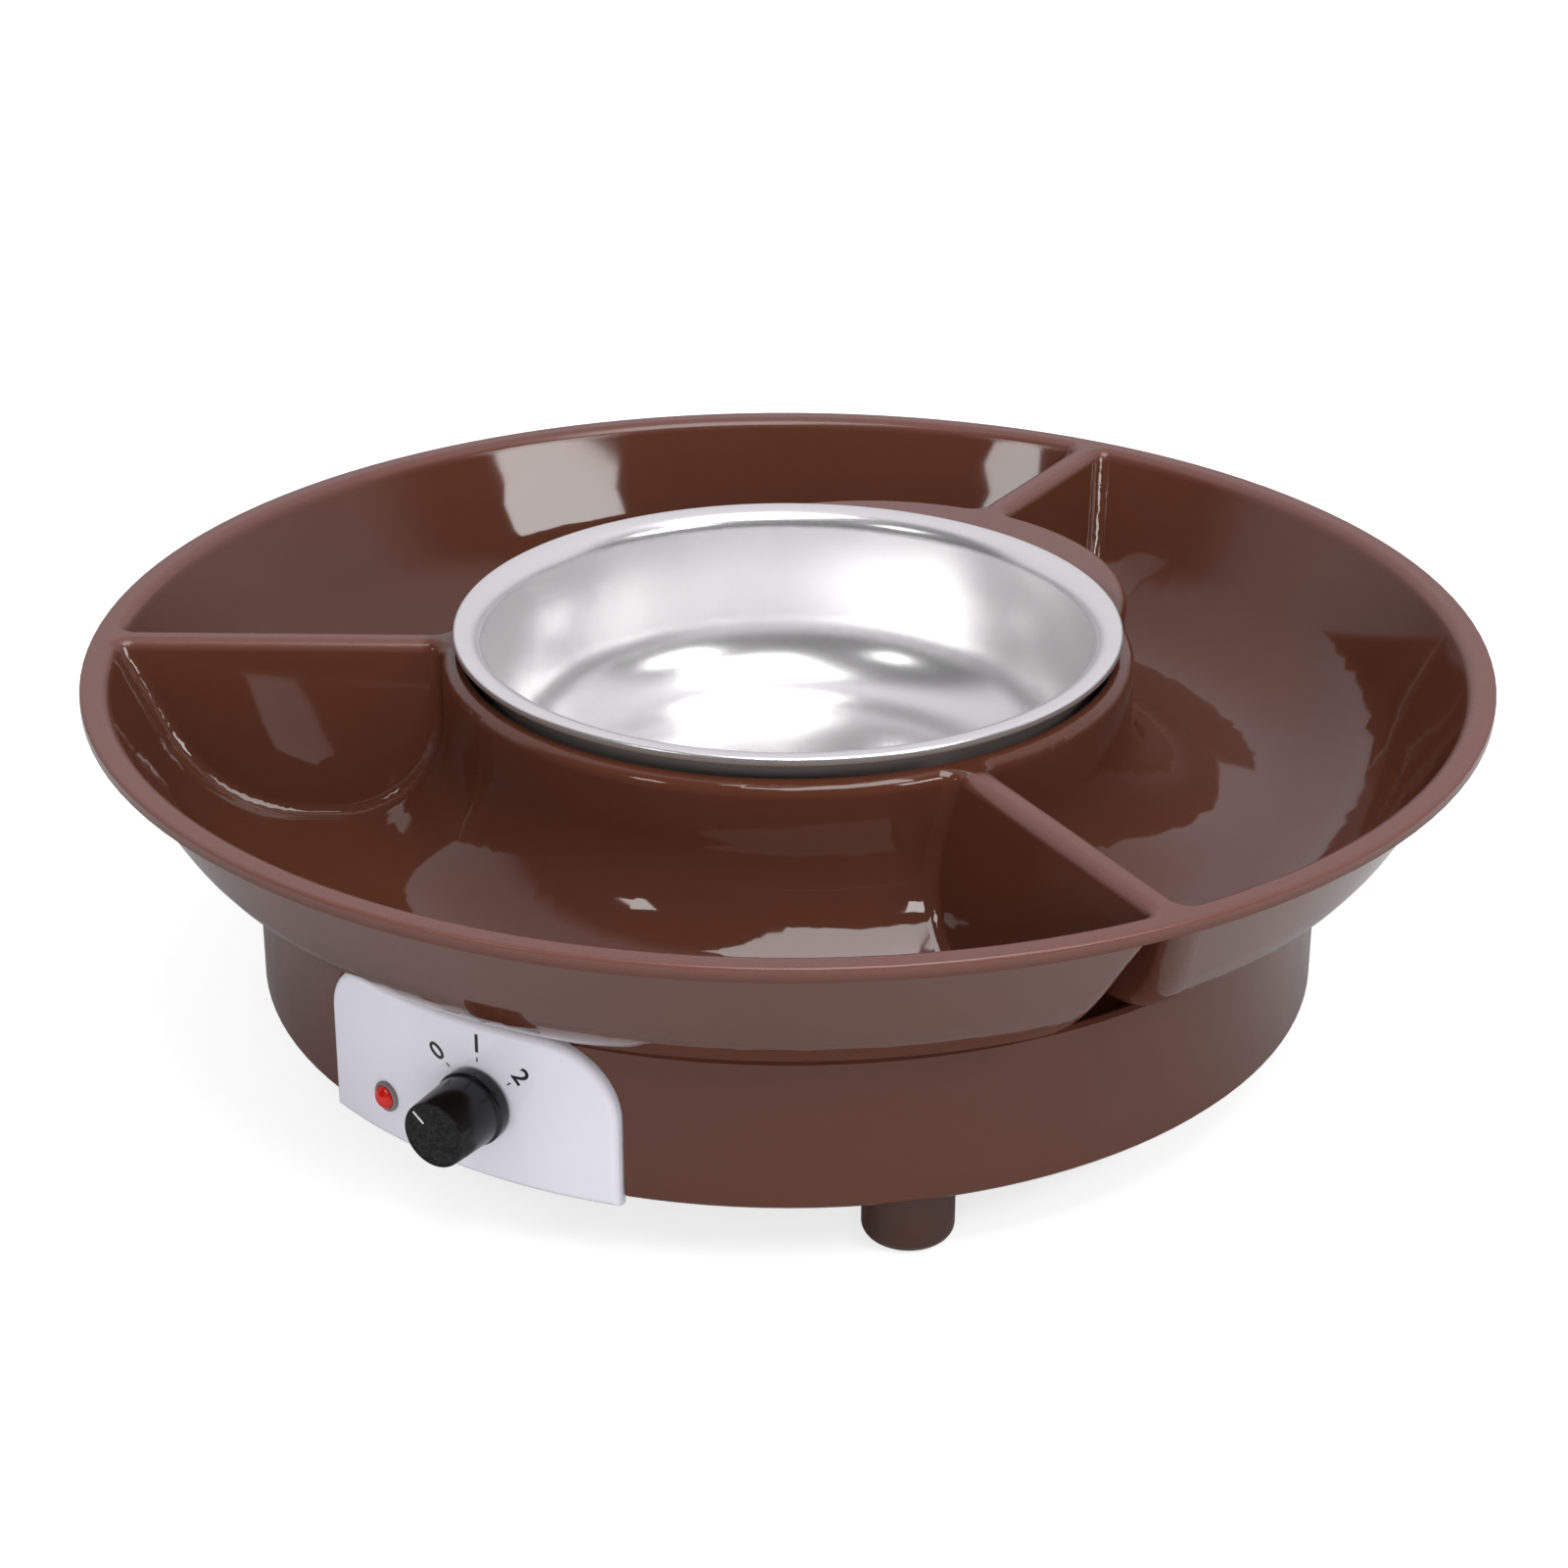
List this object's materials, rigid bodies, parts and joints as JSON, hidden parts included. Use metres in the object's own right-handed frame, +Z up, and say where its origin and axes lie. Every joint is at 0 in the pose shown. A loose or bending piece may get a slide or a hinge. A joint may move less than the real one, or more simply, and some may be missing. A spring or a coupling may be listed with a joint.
{
  "type": "chocolate melting pot",
  "caption": "Round drum warmer with a lift-out metal melting pot, a divided serving tray around it and a front control knob with indicator.",
  "frame": {"origin": "on the table under the centre of the drum, at the level of the foot pads", "axes": "+Z up along the drum axis, -Y towards the front, where the control knob is, +X to the right seen from the front"},
  "size_m": [0.3, 0.3, 0.0928],
  "materials": {
    "base_plastic": "glossy moulded chocolate-brown plastic",
    "bezel_plastic": "grey plastic",
    "board": "phenolic circuit board",
    "element_mica": "mica wound heating element",
    "foot_plastic": "moulded dark brown plastic",
    "fuse_metal": "aluminium can",
    "gland_rubber": "dark rubber grommet",
    "insulation_fibre": "ceramic fibre board",
    "knob_plastic": "satin grained black plastic",
    "lens_red": "clear red plastic",
    "pad_rubber": "black rubber",
    "panel_plastic": "glossy white plastic",
    "plate_aluminium": "cast aluminium, turned face",
    "pot_metal": "satin pressed stainless sheet, finely brushed",
    "screw_steel": "zinc plated steel",
    "switch_plastic": "black moulded switch case",
    "terminal_plastic": "natural nylon",
    "thermostat_ceramic": "ceramic body",
    "tray_plastic": "glossy moulded chocolate-brown plastic"
  },
  "bodies": {
    "base": {"base_housing": "base_plastic", "bottom_cover": "base_plastic", "foot_rear_right": "foot_plastic", "foot_rear_left": "foot_plastic", "foot_front_left": "foot_plastic", "foot_front_right": "foot_plastic", "foot_pad_rear_right": "pad_rubber", "foot_pad_rear_left": "pad_rubber", "foot_pad_front_left": "pad_rubber", "foot_pad_front_right": "pad_rubber", "foot_screws": "screw_steel", "control_panel": "panel_plastic", "switch_body": "switch_plastic", "switch_washer": "screw_steel", "switch_nut": "screw_steel", "indicator_bezel": "bezel_plastic", "indicator_lens": "lens_red", "indicator_board": "board", "heating_plate": "plate_aluminium", "heating_element": "element_mica", "thermostat": "thermostat_ceramic", "element_clamp": "screw_steel", "heater_bracket": "screw_steel", "heat_shield": "screw_steel", "insulation_pad": "insulation_fibre", "heat_collar": "screw_steel", "collar_screws": "screw_steel", "plate_screws": "screw_steel", "clamp_screws": "screw_steel", "bracket_screws": "screw_steel", "thermal_fuse": "fuse_metal", "fuse_saddle": "screw_steel", "terminal_block": "terminal_plastic", "cord_gland": "gland_rubber"},
    "tray": {"serving_tray": "tray_plastic"},
    "pot": {"melting_pot": "pot_metal"},
    "knob": {"control_knob": "knob_plastic", "switch_shaft": "screw_steel"}
  },
  "joints": [
    {"name": "tray_lift", "type": "slide", "parent": "base", "child": "tray", "axis": [0, 0, 1], "range_m": [0, 0.06]},
    {"name": "pot_lift", "type": "slide", "parent": "tray", "child": "pot", "axis": [0, 0, 1], "range_m": [0, 0.06]},
    {"name": "knob_turn", "type": "hinge", "parent": "base", "child": "knob", "pos_m": [0, -0.1173, 0.032], "axis": [0, 1, 0], "range_deg": [0, 100]}
  ]
}
